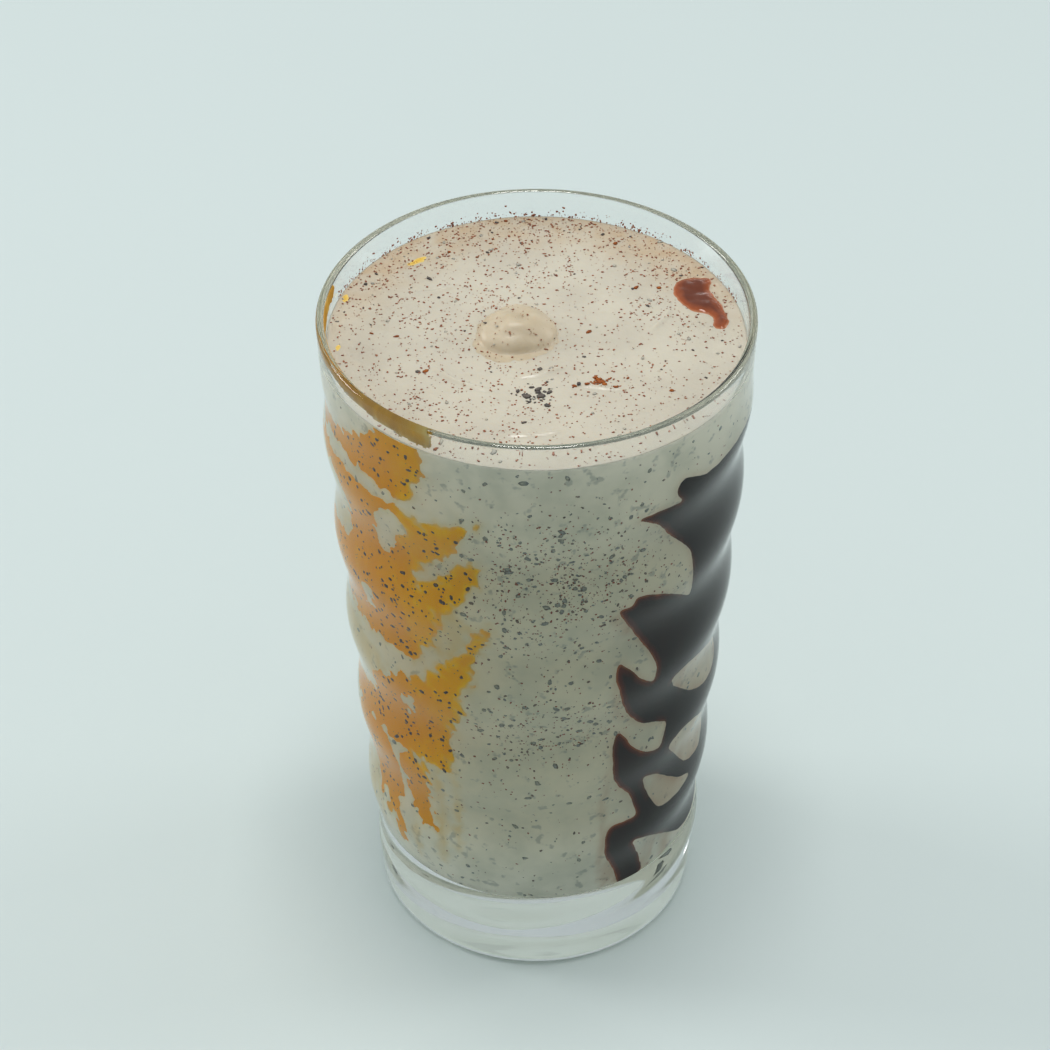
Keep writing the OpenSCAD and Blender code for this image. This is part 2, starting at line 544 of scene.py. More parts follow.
class Nodes:
    """A node tree, with short calls to add and join nodes."""

    def __init__(self, tree: bpy.types.NodeTree) -> None:
        """Work on a node tree."""
        self.tree = tree

    def add(
        self, kind: str, settings: dict | None = None, **sockets: object
    ) -> bpy.types.Node:
        """Add a node.

        Args:
            kind: the node's type without the ShaderNode in front.
            settings: properties of the node itself.
            **sockets: a value or an output for each input, with _ for a space.

        Returns:
            the new node.
        """
        node = self.tree.nodes.new("ShaderNode" + kind)
        for key, value in (settings or {}).items():
            setattr(node, key, value)
        for key, value in sockets.items():
            self.feed(node.inputs[key.replace("_", " ")], value)
        return node

    def feed(self, socket: bpy.types.NodeSocket, value: object) -> None:
        """Link an output to a socket, or set the socket's own value.

        Args:
            socket: the input.
            value: an output of another node, or a plain value.
        """
        if isinstance(value, bpy.types.NodeSocket):
            self.tree.links.new(value, socket)
        else:
            socket.default_value = value


class Effect(Nodes):
    """A shader node group: an effect that several materials use, built once."""

    def __init__(self, name: str, result: str, kind: str, *levels: str) -> None:
        """Start a group that takes a Vector and some levels, and puts out one result.

        Args:
            name: name of the group.
            result: name of its output.
            kind: the output's type, Float or Vector.
            *levels: names of the number inputs.
        """
        super().__init__(bpy.data.node_groups.new(name, "ShaderNodeTree"))
        face = self.tree.interface
        face.new_socket("Vector", in_out="INPUT", socket_type="NodeSocketVector")
        for level in levels:
            face.new_socket(level, in_out="INPUT", socket_type="NodeSocketFloat")
        face.new_socket(result, in_out="OUTPUT", socket_type="NodeSocket" + kind)
        self.given = self.tree.nodes.new("NodeGroupInput").outputs
        self.result = self.tree.nodes.new("NodeGroupOutput").inputs[result]

    def noise(self) -> bpy.types.NodeSocket:
        """Noise from 0 to 1, by the Vector, Scale, Detail and Roughness that are given."""
        given = {name: self.given[name] for name in ("Vector", "Scale", "Detail", "Roughness")}
        return self.add("TexNoise", None, **given).outputs["Fac"]


@cache
def mottle() -> bpy.types.NodeTree:
    """Mottling: noise cut to a mask by a smooth step from a low to a high level.

    Returns:
        the node group, the same one each time.
    """
    effect = Effect("mottle", "Mask", "Float", "Scale", "Detail", "Roughness", "Low", "High")
    step = effect.add(
        "MapRange", {"interpolation_type": "SMOOTHSTEP"}, Value=effect.noise(),
        From_Min=effect.given["Low"], From_Max=effect.given["High"],
    )
    effect.feed(effect.result, step.outputs["Result"])
    return effect.tree


@cache
def pores() -> bpy.types.NodeTree:
    """Unevenness: a bump by noise, of a given height in metres.

    Returns:
        the node group, the same one each time.
    """
    effect = Effect("pores", "Normal", "Vector", "Scale", "Detail", "Roughness", "Height", "Strength")
    bump = effect.add(
        "Bump", None, Height=effect.noise(),
        Distance=effect.given["Height"], Strength=effect.given["Strength"],
    )
    effect.feed(effect.result, bump.outputs["Normal"])
    return effect.tree


class ShaderTree(Nodes):
    """A material's node tree, read by Object coordinates."""

    def __init__(self, name: str) -> None:
        """Start an empty material with an output node.

        Args:
            name: name of the material.
        """
        self.material = bpy.data.materials.new(name)
        self.material.use_nodes = True
        super().__init__(self.material.node_tree)
        self.tree.nodes.clear()
        self.output = self.tree.nodes.new("ShaderNodeOutputMaterial")
        self.coords = self.tree.nodes.new("ShaderNodeTexCoord").outputs["Object"]

    def effect(self, group: bpy.types.NodeTree, **levels: object) -> bpy.types.NodeSocket:
        """Place an effect with its own values.

        Args:
            group: the effect's node group.
            **levels: values of its inputs, where they aren't the usual ones.

        Returns:
            the effect's one output.
        """
        usual = {"Vector": self.coords, "Detail": 3, "Roughness": 0.55}
        return self.add("Group", {"node_tree": group}, **(usual | levels)).outputs[0]

    def ramp(self, value: bpy.types.NodeSocket, *stops: tuple) -> bpy.types.NodeSocket:
        """A colour ramp.

        Args:
            value: where on the ramp, from 0 to 1.
            *stops: pairs of a place and a colour.

        Returns:
            the colour at that place.
        """
        node = self.add("ValToRGB", Fac=value)
        points = node.color_ramp.elements
        while len(points) < len(stops):
            points.new(0.5)
        for point, (place, colour) in zip(points, stops):
            point.position = place
            point.color = (*colour, 1)
        return node.outputs["Color"]

    def spread(
        self, value: bpy.types.NodeSocket, low: float, high: float
    ) -> bpy.types.NodeSocket:
        """A mask by a smooth step: 0 where the value is below low, 1 above high."""
        node = self.add(
            "MapRange", {"interpolation_type": "SMOOTHSTEP"}, Value=value,
            From_Min=low, From_Max=high,
        )
        return node.outputs["Result"]

    def mix(self, share: object, first: object, second: object) -> bpy.types.NodeSocket:
        """Two colours mixed.

        Args:
            share: how much of the second, as a number or an output.
            first: a colour, plain or as an output.
            second: the other colour.

        Returns:
            the mixed colour.
        """
        node = self.add("Mix", {"data_type": "RGBA"})
        self.feed(node.inputs[0], share)
        for place, colour in ((6, first), (7, second)):
            plain = not isinstance(colour, bpy.types.NodeSocket)
            self.feed(node.inputs[place], (*colour, 1) if plain else colour)
        return node.outputs[2]

    def layer(self, name: str) -> bpy.types.NodeSocket:
        """A named attribute of the mesh."""
        return self.add("Attribute", {"attribute_name": name}).outputs["Fac"]

    def principled(self, **sockets: object) -> bpy.types.Material:
        """Finish the material with one surface shader.

        Args:
            **sockets: a value or an output for each of the shader's inputs.

        Returns:
            the material.
        """
        shader = self.add("BsdfPrincipled", None, **sockets)
        self.tree.links.new(shader.outputs[0], self.output.inputs["Surface"])
        return self.material


@dataclass(frozen=True)
class ClearGlass:
    """Clear pressed glass, with the faintest unevenness."""

    tint: tuple = (0.985, 0.995, 0.99, 1)
    ior: float = 1.5
    waviness: float = 0.00012

    def material(self) -> bpy.types.Material:
        """The glass, with a shallow waviness in its normal.

        Returns:
            the new material.
        """
        tree = ShaderTree("clear_glass")
        return tree.principled(
            Base_Color=self.tint,
            Roughness=0.0,
            IOR=self.ior,
            Transmission_Weight=1.0,
            Normal=tree.effect(pores(), Scale=35, Detail=2, Height=self.waviness, Strength=0.5),
        )


@dataclass(frozen=True)
class ShakeTop:
    """The drink's open surface: warm cream with fine bubbles."""

    cream: tuple = (0.635, 0.575, 0.475)
    shade: tuple = (0.58, 0.52, 0.43)
    cocoa: tuple = (0.56, 0.40, 0.25)
    roughness: float = 0.27
    bubbles: float = 0.0001

    def material(self) -> bpy.types.Material:
        """Cream with soft mottling, cocoa dust at the back edge and pores in its bump.

        Returns:
            the new material.
        """
        tree = ShaderTree("shake_top")
        patches = tree.effect(mottle(), Scale=90, Detail=4, Low=0.3, High=0.75)
        base = tree.mix(patches, self.cream, self.shade)
        return tree.principled(
            Base_Color=tree.mix(tree.layer("dust"), base, self.cocoa),
            Roughness=self.roughness,
            Subsurface_Weight=0.15,
            Subsurface_Radius=(0.004, 0.003, 0.002),
            Subsurface_Scale=0.5,
            Normal=tree.effect(pores(), Scale=900, Height=self.bubbles, Strength=0.6),
        )


@dataclass(frozen=True)
class ShakeSide:
    """The drink where it wets the wall: no gloss of its own, paler at both ends.

    Spans are heights in metres, over which one colour turns to the next. The upper, lower and
    bottom-face colours are painted light: the side is painted paler near its top and near its bottom,
    and near white on its bottom face, for light that comes in through the milk's top and up from the
    floor.
    """

    # Painted light: the middle colour is a lighter copy of the top's cream, brightened for the dimmer
    # light that reaches the drink through the wall.
    middle: tuple = (0.86, 0.81, 0.63)
    upper: tuple = (0.99, 0.95, 0.80)
    lower: tuple = (0.97, 0.95, 0.82)
    painted_light_underside: tuple = (0.98, 0.985, 0.97)
    grey: tuple = (0.60, 0.62, 0.50)
    dim: tuple = (0.30, 0.34, 0.31)
    fruit: tuple = (0.80, 0.62, 0.26)
    cocoa: tuple = (0.60, 0.44, 0.29)
    # Painted light: colour and strength of the faint light that the bottom face emits.
    painted_glow: tuple = (0.86, 0.95, 0.88)
    painted_glow_strength: float = 0.28
    painted_light_floor_span: tuple = (0.0178, 0.0185)
    painted_light_bottom_span: tuple = (0.019, 0.052)
    painted_light_top_span: tuple = (0.104, 0.133)

    def material(self) -> bpy.types.Material:
        """Colour by height, with soft grey patches, fruit stains and cocoa stains.

        The bottom face also emits a faint painted light, which stands in for the light that a milky
        drink carries down to it.

        Returns:
            the new material.
        """
        tree = ShaderTree("shake_side")
        height = tree.add("SeparateXYZ", None, Vector=tree.coords).outputs["Z"]
        # Painted light: paler towards the bottom and the top, near white on the bottom face.
        base = tree.mix(tree.spread(height, *self.painted_light_bottom_span), self.lower, self.middle)
        base = tree.mix(tree.spread(height, *self.painted_light_floor_span), self.painted_light_underside, base)
        base = tree.mix(tree.spread(height, *self.painted_light_top_span), base, self.upper)
        cloudy = tree.effect(mottle(), Scale=110, Low=0.35, High=0.75)
        base = tree.mix(cloudy, base, tree.mix(0.5, base, self.grey))
        sunken = tree.effect(mottle(), Scale=420, Detail=2, Low=0.60, High=0.72)
        base = tree.mix(sunken, base, tree.mix(0.45, base, self.dim))
        base = tree.mix(tree.layer("fruit"), base, self.fruit)
        base = tree.mix(tree.layer("cocoa"), base, self.cocoa)
        # Painted light: the bottom face alone emits.
        above = tree.spread(height, *self.painted_light_floor_span)
        return tree.principled(
            Base_Color=base,
            Roughness=0.9,
            Specular_IOR_Level=0.0,
            Emission_Color=tree.ramp(above, (0.0, self.painted_glow), (1.0, (0, 0, 0))),
            Emission_Strength=self.painted_glow_strength,
        )


@dataclass(frozen=True)
class IceCream:
    """Melting ice cream, warmer than the drink."""

    colour: tuple = (0.62, 0.52, 0.39)
    shade: tuple = (0.55, 0.45, 0.32)
    crystals: float = 0.00015

    def material(self) -> bpy.types.Material:
        """Warm cream with a wet gloss.

        Returns:
            the new material.
        """
        tree = ShaderTree("melting_ice_cream")
        patches = tree.effect(mottle(), Scale=160, Low=0.35, High=0.7)
        return tree.principled(
            Base_Color=tree.mix(patches, self.colour, self.shade),
            Roughness=0.4,
            Subsurface_Weight=0.2,
            Subsurface_Radius=(0.004, 0.003, 0.002),
            Subsurface_Scale=0.5,
            Normal=tree.effect(pores(), Scale=500, Height=self.crystals, Strength=0.6),
        )


@dataclass(frozen=True)
class Sauce:
    """A sauce whose colour deepens with its thickness.

    Stops are (place, colour) pairs along the depth in from the edge.
    """

    name: str
    by_depth: tuple
    deep: tuple
    roughness: float = 0.25
    gloss: float = 0.0
    stretch: tuple = (1, 1, 0.35)

    def material(self) -> bpy.types.Material:
        """The edge colours by depth, turning to the deep colour where the sauce is warm.

        Returns:
            the new material.
        """
        tree = ShaderTree(self.name)
        colour = tree.ramp(tree.layer("depth"), *self.by_depth)
        streak = tree.add("Mapping", None, Vector=tree.coords, Scale=self.stretch)
        streaks = tree.effect(
            mottle(), Vector=streak.outputs[0], Scale=320, Detail=4, Roughness=0.5,
            Low=0.32, High=0.72,
        )
        warmth = tree.add("Math", {"operation": "MULTIPLY_ADD"})
        for place, value in enumerate((streaks, 0.5, tree.layer("warmth"))):
            tree.feed(warmth.inputs[place], value)
        share = tree.spread(warmth.outputs[0], 0.2, 1.1)
        return tree.principled(
            Base_Color=tree.mix(share, colour, self.deep),
            Roughness=self.roughness,
            Specular_IOR_Level=self.gloss,
        )


@dataclass(frozen=True)
class Crumb:
    """The matt finish of specks and crumbs."""

    name: str
    colour: tuple
    other: tuple

    def material(self) -> bpy.types.Material:
        """Two colours mixed by a fine noise, so that no two specks are quite alike.

        Returns:
            the new material.
        """
        tree = ShaderTree(self.name)
        share = tree.effect(mottle(), Scale=700, Detail=2, Low=0.35, High=0.65)
        return tree.principled(
            Base_Color=tree.mix(share, self.colour, self.other),
            Roughness=0.7,
            Normal=tree.effect(pores(), Scale=3000, Detail=2, Height=0.00005, Strength=0.6),
        )


DARK_SAUCE = Sauce(
    "chocolate_sauce",
    by_depth=(
        (0.0, (0.44, 0.16, 0.06)), (0.2, (0.13, 0.022, 0.008)), (0.6, (0.022, 0.010, 0.008)),
    ),
    deep=(0.014, 0.009, 0.008),
)
FRUIT_SAUCE = Sauce(
    "mango_sauce",
    by_depth=(
        (0.0, (0.80, 0.71, 0.46)), (0.14, (0.88, 0.60, 0.16)),
        (0.34, (0.99, 0.60, 0.006)), (0.85, (0.97, 0.50, 0.0)),
    ),
    deep=(0.92, 0.42, 0.004),
)
DROP_SAUCE = Sauce(
    "chocolate_drop",
    by_depth=(
        (0.0, (0.52, 0.24, 0.13)), (0.15, (0.36, 0.10, 0.035)), (0.7, (0.17, 0.048, 0.024)),
    ),
    deep=(0.22, 0.06, 0.028),
    roughness=0.15,
    gloss=0.5,
)
FILM_SAUCE = Sauce(
    "mango_film",
    by_depth=((0.0, (0.80, 0.62, 0.25)), (0.3, (0.78, 0.50, 0.10)), (0.9, (0.80, 0.42, 0.03))),
    deep=(0.60, 0.34, 0.08),
)

COCOA_CRUMB = Crumb("cocoa_specks", (0.44, 0.18, 0.10), (0.30, 0.10, 0.055))
DARK_CRUMB = Crumb("dark_biscuit", (0.10, 0.085, 0.08), (0.17, 0.14, 0.12))
VEILED_CRUMB = Crumb("veiled_biscuit", (0.20, 0.16, 0.12), (0.30, 0.25, 0.19))
SUNKEN_CRUMB = Crumb("sunken_biscuit", (0.32, 0.35, 0.33), (0.42, 0.43, 0.36))
AMBER_CRUMB = Crumb("orange_crumbs", (0.42, 0.13, 0.02), (0.30, 0.08, 0.02))
PALE_CRUMB = Crumb("sunken_on_top", (0.44, 0.41, 0.36), (0.52, 0.48, 0.40))


# ----------------------------------------------------------------- sub-assemblies


@dataclass
class Tumbler:
    """The glass itself: one closed skin, from under the foot to the inside floor."""

    form: WaveWall
    around: int = 240
    row_gap: float = 1.1 * MM
    rim_steps: int = 10
    corner_rows: int = 6

    def rows(self, low: float, high: float) -> Array:
        """Heights from low to high, no further apart than the row gap."""
        return np.linspace(low, high, max(2, math.ceil((high - low) / self.row_gap) + 1))

    def corner(self, low: float, radius: float) -> Array:
        """Heights of the rows up a rounded corner, closer together at its start."""
        turn = np.linspace(0, math.pi / 2, self.corner_rows, endpoint=False)
        return low + radius * (1 - np.cos(turn))

    def build(self) -> bpy.types.Object:
        """The outside rows, half a turn over the rim, and the inside rows back down.

        Returns:
            the dressed piece.
        """
        form = self.form
        a = np.linspace(0, TURN, self.around, endpoint=False)[None, :]
        outside = np.concatenate(
            [self.corner(0, form.foot_round), self.rows(form.foot_round, form.rim_base)]
        )[:, None]
        inside = np.concatenate(
            [self.corner(form.base_t, form.floor_round),
             self.rows(form.base_t + form.floor_round, form.rim_base)]
        )[::-1, None]
        turn = np.linspace(0, math.pi, self.rim_steps + 1)[1:-1, None]
        middle = form.rim_d / 2 - form.rim_wall / 2
        rim = around_axis(
            middle + form.rim_wall / 2 * np.cos(turn), a,
            form.rim_base + form.rim_wall / 2 * np.sin(turn),
        )
        rings = np.concatenate([
            around_axis(form.outer(outside, a), a, outside),
            rim,
            around_axis(form.inner(inside, a), a, inside),
        ])
        piece = skin("tumbler", rings, [0, 0, 0], [0, 0, form.base_t])
        dress(piece, ClearGlass().material(), Slot.TUMBLER, "glass")
        return piece


@dataclass
class Surface:
    """The drink's top: low swirls, small folds and a soft edge against the wall."""

    form: WaveWall
    lump_reach: float = 11 * MM
    swirl: float = 0.3 * MM
    fold: float = 0.15 * MM
    fine_fold: float = 0.05 * MM
    crease: float = 0.42 * MM
    crease_w: float = 0.5 * MM
    # Each crease: its arc's middle and radius in mm, its bearing and half its sweep in degrees.
    arcs: tuple = (
        (-4, 2, 14.5, -72, 24),
        (-2, 4, 21.5, -122, 22),
        (-4, -2, 27, -84, 16),
        (-22, 22, 9, -70, 40),
        (16, 10, 26, -100, 14),
        (10, 12, 15, -30, 20),
    )

    def height(self, x: Array, y: Array) -> Array:
        """Height of the surface: the level, less a spiral of two and three arms, plus folds.

        Args:
            x: distance to the right of the middle.
            y: distance behind the middle.

        Returns:
            the fill level lowered by up to the swirl, and level at the wall.
        """
        r = np.hypot(x, y) / (self.form.rim_d / 2)
        a = np.arctan2(y, x)
        clear = np.hypot(x - LUMP_PLACE[0], y - LUMP_PLACE[1]) - self.lump_reach
        two_arms = np.cos(2 * a + np.radians(620) * r)
        three_arms = np.cos(3 * a - np.radians(400) * r)
        spiral = (2 * two_arms + three_arms) / 3
        quiet = ease((1 - r) * 6 - 0.4)
        low = self.swirl / 2 * (1 - spiral) * ease(clear / (6 * MM)) * quiet
        folds = smooth_noise(x / (5 * MM) + 40, y / (3.2 * MM) + 40, 3)
        fine = smooth_noise(x / (1.4 * MM) + 90, y / (1.1 * MM) + 90, 4)
        rough = (self.fold * folds + self.fine_fold * fine) * ease((1 - r) * 9)
        return self.form.fill_h - low + rough + self.creases(x, y)

    def creases(self, x: Array, y: Array) -> Array:
        """Thin raised creases, each a bell-shaped ridge along part of an arc.

        Args:
            x: distance to the right of the middle.
            y: distance behind the middle.

        Returns:
            the ridges' height, which fades out at both ends of each arc.
        """
        rise = 0 * x
        for cx, cy, radius, bearing, half in self.arcs:
            dx, dy = x - cx * MM, y - cy * MM
            off = np.hypot(dx, dy) - radius * MM
            turn = np.mod(np.degrees(np.arctan2(dy, dx)) - bearing + 180, 360) - 180
            ridge = np.exp(-((off / self.crease_w) ** 2))
            rise = rise + ridge * ease(1.6 - 1.6 * np.abs(turn) / half)
        return self.crease * rise


@dataclass
class Shake:
    """The drink that fills the tumbler, reaching just into the wall."""

    form: WaveWall
    surface: Surface
    around: int = 320
    row_gap: float = 0.9 * MM
    corner_rows: int = 6
    surface_rings: int = 108
    into_wall: float = 0.05 * MM
    halo: float = 0.8
    blur: float = 1.2

    def build(self) -> bpy.types.Object:
        """Rings up the inside of the wall, then inwards over the surface.

        Returns:
            the dressed piece, with one finish on its surface and one against the wall.
        """
        form = self.form
        a = np.linspace(0, TURN, self.around, endpoint=False)[None, :]
        turn = np.linspace(0, math.pi / 2, self.corner_rows, endpoint=False)
        corner = form.base_t + form.floor_round * (1 - np.cos(turn))
        low = form.base_t + form.floor_round
        straight = np.linspace(low, form.fill_h, math.ceil((form.fill_h - low) / self.row_gap))
        h = np.concatenate([corner, straight])[:, None]
        side = around_axis(form.inner(h, a) + self.into_wall, a, h)
        share = np.linspace(1, 0, self.surface_rings + 1)[1:-1, None]
        edge = form.inner(form.fill_h, a) + self.into_wall
        x, y = share * edge * np.cos(a), share * edge * np.sin(a)
        top = np.stack([x, y, self.surface.height(x, y)], -1)
        piece = skin(
            "shake_body", np.concatenate([side, top]), [0, 0, form.base_t - self.into_wall],
            [0, 0, float(self.surface.height(0.0, 0.0))],
        )
        self.paint_stains(piece, h, a, x.size + 1)
        self.paint_dust(piece, x, y, len(h) * self.around + 1, float(np.max(edge)))
        dress(piece, ShakeTop().material(), Slot.SHAKE, "milkshake")
        piece.data.materials.append(ShakeSide().material())
        self.part_wet(piece, (len(h) - 1) * self.around)
        return piece

    def paint_stains(
        self, piece: bpy.types.Object, h: Array, a: Array, after: int
    ) -> None:
        """Paint how far each sauce has stained the drink against the wall.

        A stain is a halo that fades by an exponential outside the sauce, plus a soft
        patch where the stain's own outline has depth, both made uneven by noise.

        Args:
            piece: the drink.
            h: heights of the rings up its side, as a column.
            a: bearings round each ring, as a row.
            after: how many points come after the side's.
        """
        u = np.mod(np.degrees(a) + 200, 360) - 200 + 0 * h
        v = h / MM + 0 * u
        patchy = 0.75 + 0.35 * smooth_noise(u * ARC / 2 + 30, v / 6 + 30, 9)
        for name, sauce, stains in (
            ("fruit", MANGO, FRUIT_STAINS),
            ("cocoa", CHOCOLATE, COCOA_STAINS),
        ):
            halo = 0.55 * np.exp(np.minimum(sauce.depth(u, v), 0) / self.halo)
            soft = 0.6 * ease((stains.depth(u, v) + self.blur) / (2 * self.blur))
            stain = np.clip((halo + soft) * patchy, 0, 0.9)
            paint(piece, name, np.concatenate([[0], stain.ravel(), np.zeros(after)]))

    def paint_dust(
        self, piece: bpy.types.Object, x: Array, y: Array, before: int, edge: float
    ) -> None:
        """Paint the cocoa dust, which gathers at the back edge of the surface.

        Args:
            piece: the drink.
            x: distances to the right of the middle of the surface's points.
            y: their distances behind the middle.
            before: how many points come before the surface's.
            edge: the surface's radius.
        """
        outward = ease((np.hypot(x, y) / edge - 0.6) / 0.36)
        behind = ease(y / edge * 1.6 + 0.1)
        patchy = 0.6 + 0.4 * smooth_noise(x / (2 * MM) + 70, y / (2 * MM) + 70, 10)
        dust = np.clip(0.8 * outward * behind * patchy, 0, 1)
        paint(piece, "dust", np.concatenate([np.zeros(before), dust.ravel(), [0]]))

    def part_wet(self, piece: bpy.types.Object, side_faces: int) -> None:
        """Give the second finish to the faces against the wall and against the floor.

        Args:
            piece: the drink, with both finishes.
            side_faces: how many faces its side has, which come first.
        """
        count = len(piece.data.polygons)
        centres = np.empty(3 * count, np.float32)
        piece.data.polygons.foreach_get("center", centres)
        wet = np.arange(count) < side_faces
        wet |= centres[2::3] < self.form.base_t + 0.5 * MM
        piece.data.polygons.foreach_set("material_index", wet.astype(np.int32))


@dataclass
class Lump:
    """The ice cream lump: a low dome that melts into a skirt."""

    form: WaveWall
    width: float = 14 * MM
    height: float = 4.2 * MM
    skirt: float = 4 * MM
    skirt_share: float = 0.16
    sunk: float = 1.2 * MM
    x: float = LUMP_PLACE[0]
    y: float = LUMP_PLACE[1]
    around: int = 96
    rings: int = 40

    def outline(self, a: Array) -> Array:
        """Outline as a share of the mean radius: a circle with two soft harmonics."""
        oval = 0.05 * np.cos(2 * a - math.radians(40))
        return 1 + oval + 0.04 * np.cos(3 * a + math.radians(70))

    def skirt_radius(self, a: Array) -> Array:
        """Outer radius of the skirt, which runs furthest to the front left."""
        reach = 0.6 + 0.4 * np.cos(a + math.radians(125))
        return self.width / 2 * self.outline(a) + self.skirt * reach

    def profile(self, t: Array, a: Array) -> Array:
        """Height of the lump: a blunt dome on a thin melting skirt.

        Args:
            t: share of the way out to the skirt's edge.
            a: bearing about the lump's middle.

        Returns:
            the height above the waterline.
        """
        dome_end = self.width / 2 * self.outline(a) / self.skirt_radius(a)
        dome = np.sqrt(np.maximum(1 - np.minimum(t / dome_end, 1) ** 2.2, 0))
        melt = self.skirt_share * (1 + np.cos(math.pi * t)) / 2
        return self.height * ((1 - self.skirt_share) * dome + melt)

    def build(self) -> bpy.types.Object:
        """Rings from the waterline inwards over the dome, closed underneath.

        Returns:
            the dressed piece.
        """
        a = np.linspace(0, TURN, self.around, endpoint=False)[None, :]
        t = np.linspace(1, 0, self.rings + 1)[:-1, None]
        reach = t * self.skirt_radius(a)
        x, y = self.x + reach * np.cos(a), self.y + reach * np.sin(a)
        uneven = smooth_noise(x / (2.6 * MM) + 50, y / (2.1 * MM) + 50, 8)
        lift = self.profile(t, a) * (1 + 0.13 * uneven) - 0.25 * MM * t**8
        top = np.stack([x, y, self.form.fill_h + lift], -1)
        low = self.form.fill_h - self.sunk
        under = np.stack([x[:1], y[:1], np.full_like(x[:1], low)], -1)
        first = [self.x, self.y, low]
        last = [self.x, self.y, self.form.fill_h + float(self.profile(0, 0))]
        piece = skin("ice_cream_lump_melting", np.concatenate([under, top]), first, last)
        dress(piece, IceCream().material(), Slot.ICE_CREAM, "ice_cream_lump")
        return piece


@dataclass
class WallSauce:
    """Sauce between the drink and the wall, as a thin closed shell on the wall's inside.

    The span is in degrees of bearing. Low, high and step are in millimetres.
    """

    form: WaveWall
    name: str
    splash: Splash
    finish: Sauce
    slot: Slot
    span: tuple
    low: float = 17.6
    high: float = 135.3
    step: float = 0.42
    into_wall: float = 0.05 * MM
    film: float = 0.12 * MM
    edge_w: float = 0.45
    behind: float = 0.5 * MM
    trimmed: float = -0.9
    pale_within: float = 26
    deepens_over: float = 30

    def warmth(self, u: Array, v: Array) -> Array:
        """How deep the colour is: soft noise, plus a smooth step away from the front.

        Args:
            u: bearings in degrees.
            v: heights in millimetres.

        Returns:
            values from 0 to 1.
        """
        soft = smooth_noise(u * ARC / 6 + 60, v / 9 + 60, self.splash.seed + 5)
        back = ease((np.abs(u - FRONT) - self.pale_within) / self.deepens_over)
        return np.clip(0.12 + 0.85 * back + 0.38 * soft, 0, 1)

    def build(self) -> bpy.types.Object:
        """Shell cells where the sauce has depth. Its face dips under the drink at its edge.

        The face stands out by the film's thickness times a hyperbolic tangent of the
        depth in from the sauce's edge, so that the outline is where the two faces cross.

        Returns:
            the dressed piece.
        """
        columns = int((self.span[1] - self.span[0]) * ARC / self.step)
        rows = int((self.high - self.low) / self.step)
        u, v = np.meshgrid(np.linspace(*self.span, columns), np.linspace(self.low, self.high, rows))
        depth = self.splash.depth(u, v)
        face = self.film * np.tanh(depth / self.edge_w)
        a, h = np.radians(u), v * MM
        inner = self.form.inner(h, a) + self.into_wall
        outside = around_axis(inner + np.maximum(face, -self.behind / 2), a, h)
        inside = around_axis(inner - self.behind, a, h)
        kept = cells_deeper(depth, self.trimmed)
        piece, used = shell(self.name, outside, inside, kept)
        paint(piece, "depth", np.clip(np.tile(depth.ravel(), 2)[used] / FULL_DEPTH, 0, 1))
        paint(piece, "warmth", np.tile(self.warmth(u, v).ravel(), 2)[used])
        dress(piece, self.finish.material(), self.slot)
        return piece


@dataclass
class SurfaceDrop:
    """A drop of sauce lying on the drink's surface, domed in from its edge.

    The span is left to right and near to far, and it and the step are in millimetres.
    """

    surface: Surface
    splash: Splash
    finish: Sauce
    name: str = "chocolate_drop"
    slot: Slot = Slot.CHOCOLATE
    span: tuple = ((24.5, 36.5), (0.5, 19.5))
    step: float = 0.16
    dome: float = 0.55 * MM
    dip: float = 0.35 * MM
    under: float = 0.6 * MM
    edge_w: float = 0.8
    trimmed: float = -0.6

    def build(self) -> bpy.types.Object:
        """A shell over the surface: height grows with depth as 1 less an exponential.

        Returns:
            the dressed piece.
        """
        (left, right), (near, far) = self.span
        u, v = np.meshgrid(np.arange(left, right, self.step), np.arange(near, far, self.step))
        depth = self.splash.depth(u, v)
        base = self.surface.height(u * MM, v * MM)
        lumps = 1 + 0.3 * smooth_noise(u / 1.5 + 10, v / 1.5 + 10, 77)
        rise = self.dome * (1 - np.exp(-np.maximum(depth, 0) / self.edge_w)) * lumps
        top = base + np.where(depth > 0, rise, self.dip * depth)
        outside = np.stack([u * MM, v * MM, top], -1)
        inside = np.stack([u * MM, v * MM, base - self.under], -1)
        kept = cells_deeper(depth, self.trimmed)
        piece, used = shell(self.name, outside, inside, kept)
        paint(piece, "depth", np.clip(np.tile(depth.ravel(), 2)[used] / FULL_DEPTH, 0, 1))
        paint(piece, "warmth", np.zeros(len(used)))
        dress(piece, self.finish.material(), self.slot)
        return piece


